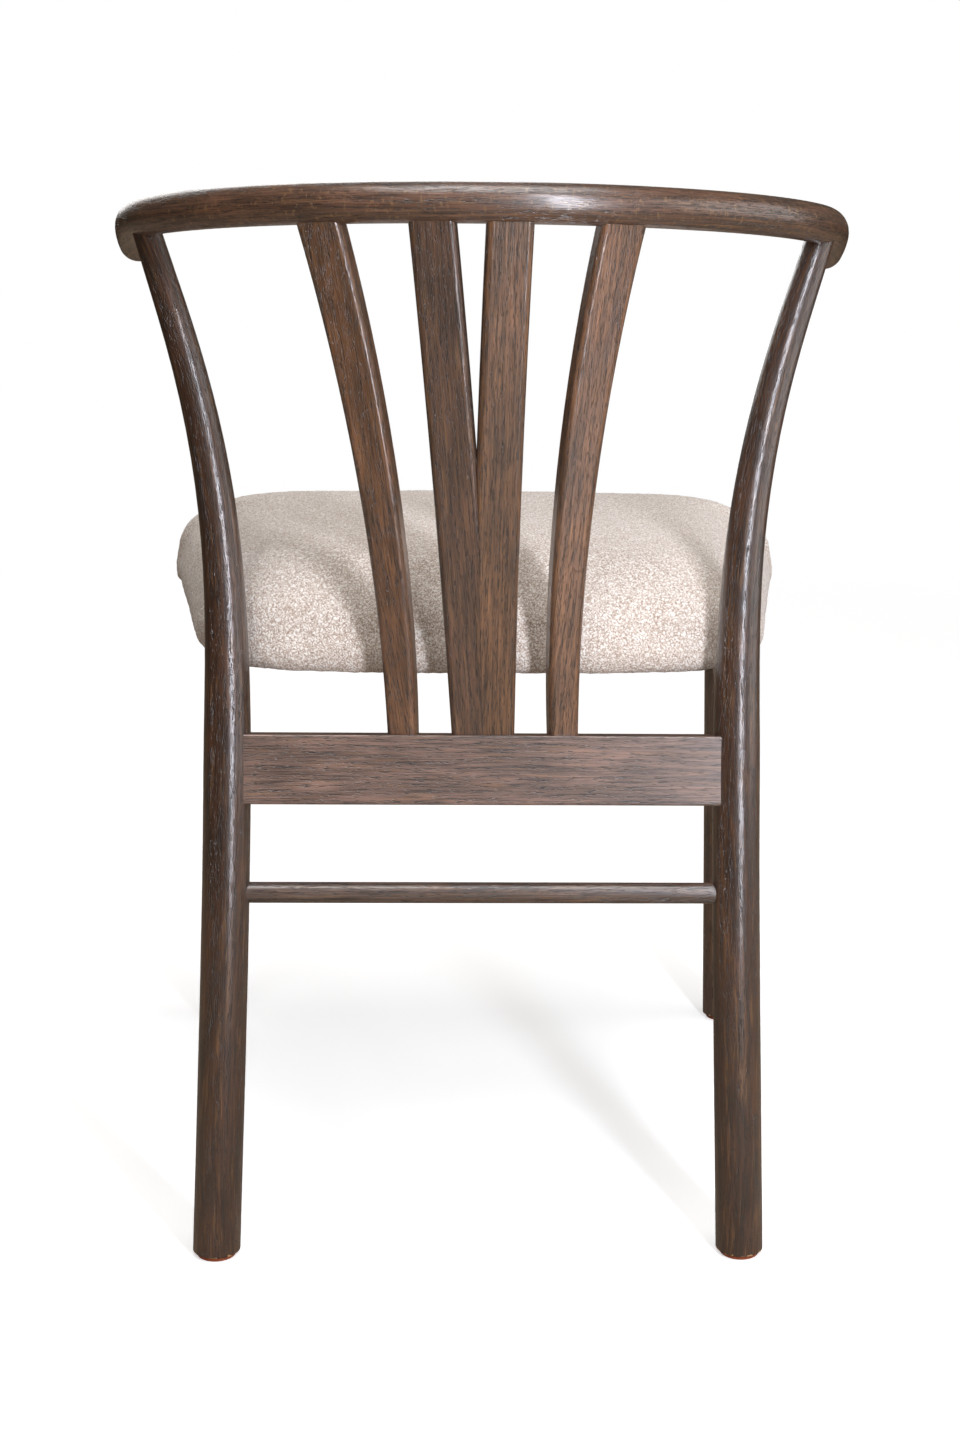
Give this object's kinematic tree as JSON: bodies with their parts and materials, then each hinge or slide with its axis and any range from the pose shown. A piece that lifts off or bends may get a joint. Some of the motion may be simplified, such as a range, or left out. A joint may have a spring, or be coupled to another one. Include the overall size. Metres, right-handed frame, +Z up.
{
  "type": "chair",
  "caption": "Low wooden armchair: one-piece curved bow on bent back legs, a fan of splats over a straight rail, and an upholstered seat.",
  "frame": {"origin": "on the floor, under the middle of the chair's width and depth", "axes": "+Z up, the chair faces -Y with its back at +Y, +X is the sitter's left"},
  "size_m": [0.5241, 0.4991, 0.745],
  "materials": {
    "stained_oak": "dark stain, open pores, satin lacquer",
    "bare_wood": "sanded, no finish",
    "screw_steel": "zinc plated",
    "seat_foam": "open-cell foam",
    "boucle": "looped off-white yarn with brown flecks",
    "lining": "thin black non-woven cloth",
    "foot_pad": "rust red, matt"
  },
  "bodies": {
    "root": {"bow": "stained_oak", "rear_leg_left": "stained_oak", "rear_leg_right": "stained_oak", "front_leg_left": "stained_oak", "front_leg_right": "stained_oak", "splat_outer_left": "stained_oak", "splat_inner_left": "stained_oak", "splat_inner_right": "stained_oak", "splat_outer_right": "stained_oak", "back_rail": "stained_oak", "rear_stretcher": "stained_oak", "side_rail_left": "stained_oak", "side_rail_right": "stained_oak", "front_rail": "stained_oak", "corner_block_left": "bare_wood", "corner_block_right": "bare_wood", "frame_dowels": "bare_wood", "seat_board": "bare_wood", "block_screws": "screw_steel", "seat_screws": "screw_steel", "seat_foam": "seat_foam", "seat_cover": "boucle", "seat_lining": "lining", "glide_rear_left": "foot_pad", "glide_rear_right": "foot_pad", "glide_front_left": "foot_pad", "glide_front_right": "foot_pad"}
  },
  "joints": []
}
